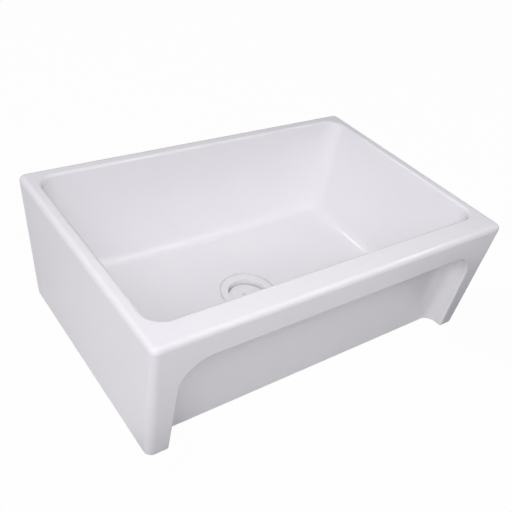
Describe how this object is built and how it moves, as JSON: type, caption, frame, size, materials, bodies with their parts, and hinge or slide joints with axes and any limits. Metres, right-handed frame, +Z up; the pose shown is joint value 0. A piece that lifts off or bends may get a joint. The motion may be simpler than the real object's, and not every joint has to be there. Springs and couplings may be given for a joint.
{
  "type": "kitchen sink",
  "caption": "White fireclay kitchen sink with a deep rectangular bowl, an apron front with an arched recess between corner legs, and a white lidded basket strainer in its drain.",
  "frame": {"origin": "centre of the rim's outline, on the plane of the flat base that the sink rests on", "axes": "+Z up, +X to the right as seen from the front, -Y towards the apron front"},
  "size_m": [0.7608, 0.5063, 0.3156],
  "materials": {
    "white_glaze": "gloss white glaze on fireclay",
    "white_coat": "gloss white coat on metal",
    "pale_seal": "soft pale ring",
    "black_rubber": "matt black rubber",
    "fibre": "brown fibre",
    "brass": "turned brass",
    "nylon": "white nylon",
    "steel": "brushed stainless steel"
  },
  "bodies": {
    "sink": {"sink_body": "white_glaze", "flange_seal": "pale_seal", "strainer_body": "white_coat", "under_gasket": "black_rubber", "friction_ring": "fibre", "lock_nut": "brass", "tail_washer": "nylon", "coupling_nut": "brass"},
    "basket": {"strainer_basket": "steel", "basket_post": "steel", "stopper_seal": "black_rubber", "post_nut": "brass", "basket_lid": "white_coat", "lid_knob": "white_coat"}
  },
  "joints": [
    {"name": "basket_lift", "type": "slide", "parent": "sink", "child": "basket", "axis": [0, 0, 1], "range_m": [0, 0.3]}
  ]
}
